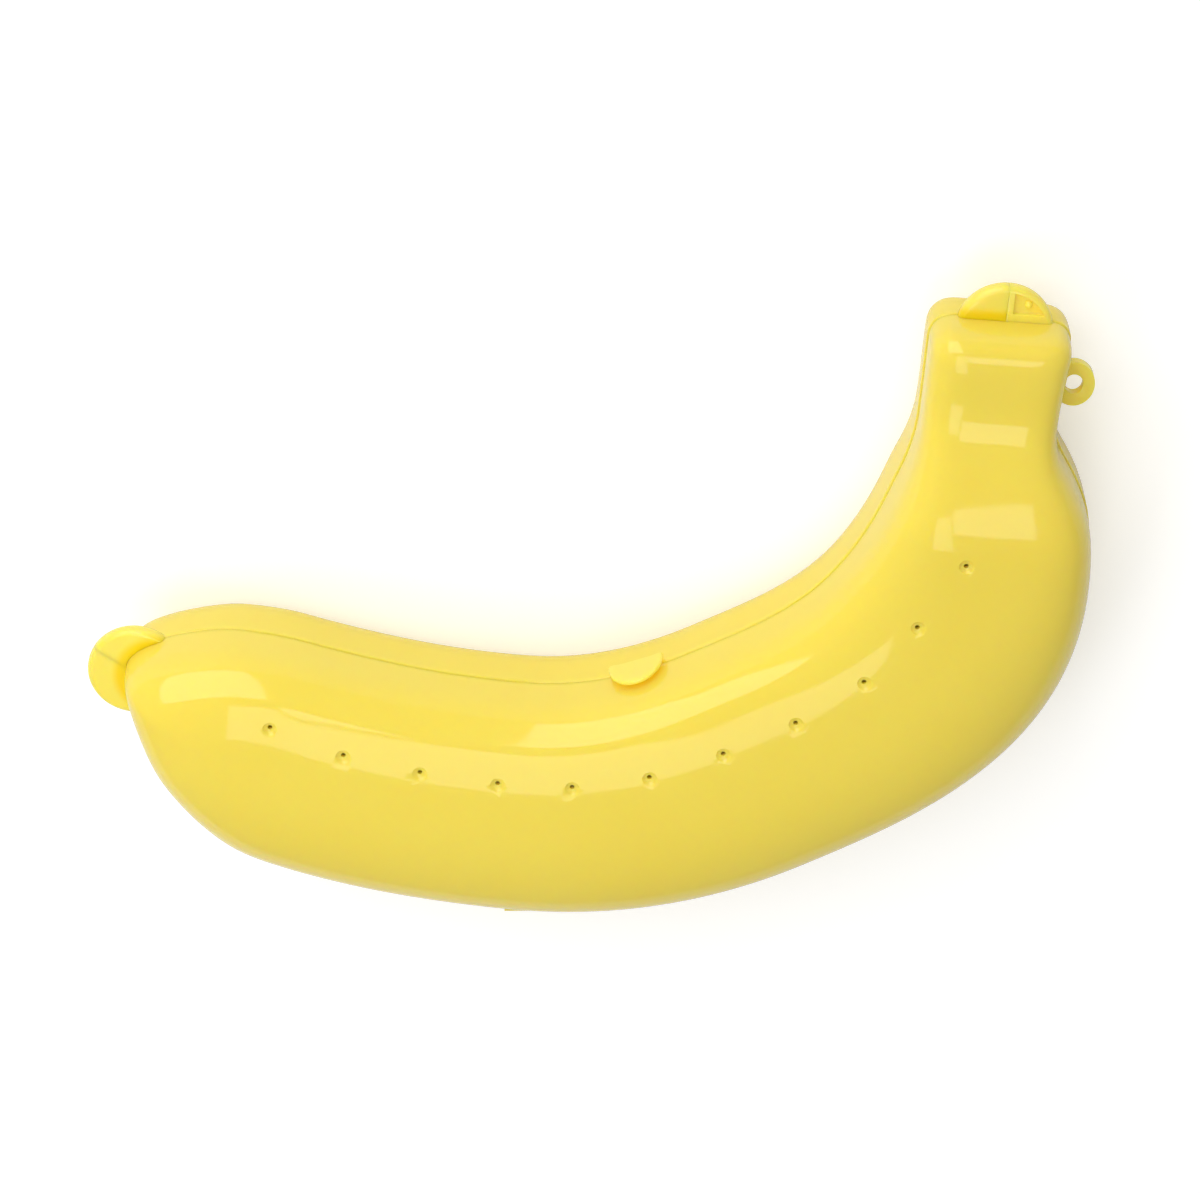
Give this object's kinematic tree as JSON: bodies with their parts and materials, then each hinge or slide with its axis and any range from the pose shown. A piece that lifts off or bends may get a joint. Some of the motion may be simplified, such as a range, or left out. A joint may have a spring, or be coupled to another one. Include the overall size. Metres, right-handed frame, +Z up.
{
  "type": "banana carrying case",
  "caption": "Hinged hard plastic case shaped like a bent banana, two vented half shells with a disc latch, finger tabs at both ends and a lanyard loop.",
  "frame": {"origin": "on the floor under the middle of the closed case's box, with the case lying on its rear shell", "axes": "+X from the tip end to the stem end, +Y to the inside of the bend, +Z up, square to the rim plane, towards the front shell"},
  "size_m": [0.2094, 0.1486, 0.041],
  "materials": {
    "yellow_plastic": "glossy moulded polypropylene, slightly translucent"
  },
  "bodies": {
    "rear_half": {"rear_shell": "yellow_plastic", "rear_tip_tab": "yellow_plastic", "rear_stem_tab": "yellow_plastic", "lanyard_loop": "yellow_plastic", "latch_web": "yellow_plastic", "rear_tip_knuckle": "yellow_plastic", "rear_stem_knuckle": "yellow_plastic", "hinge_pin": "yellow_plastic"},
    "front_half": {"front_shell": "yellow_plastic", "front_lip": "yellow_plastic", "front_tip_tab": "yellow_plastic", "front_stem_tab": "yellow_plastic", "latch_catch": "yellow_plastic", "front_knuckle": "yellow_plastic"},
    "latch": {"latch_disc": "yellow_plastic"}
  },
  "joints": [
    {"name": "case_hinge", "type": "hinge", "parent": "rear_half", "child": "front_half", "pos_m": [-0.00627, -0.07261, 0.0205], "axis": [1, 0, 0], "range_deg": [0, 180]},
    {"name": "latch_flex", "type": "hinge", "parent": "rear_half", "child": "latch", "pos_m": [0.01076, -0.01387, 0.0173], "axis": [-0.9521, -0.3058, 0], "range_deg": [0, 8], "stiffness_Nm_per_rad": 0.3}
  ]
}
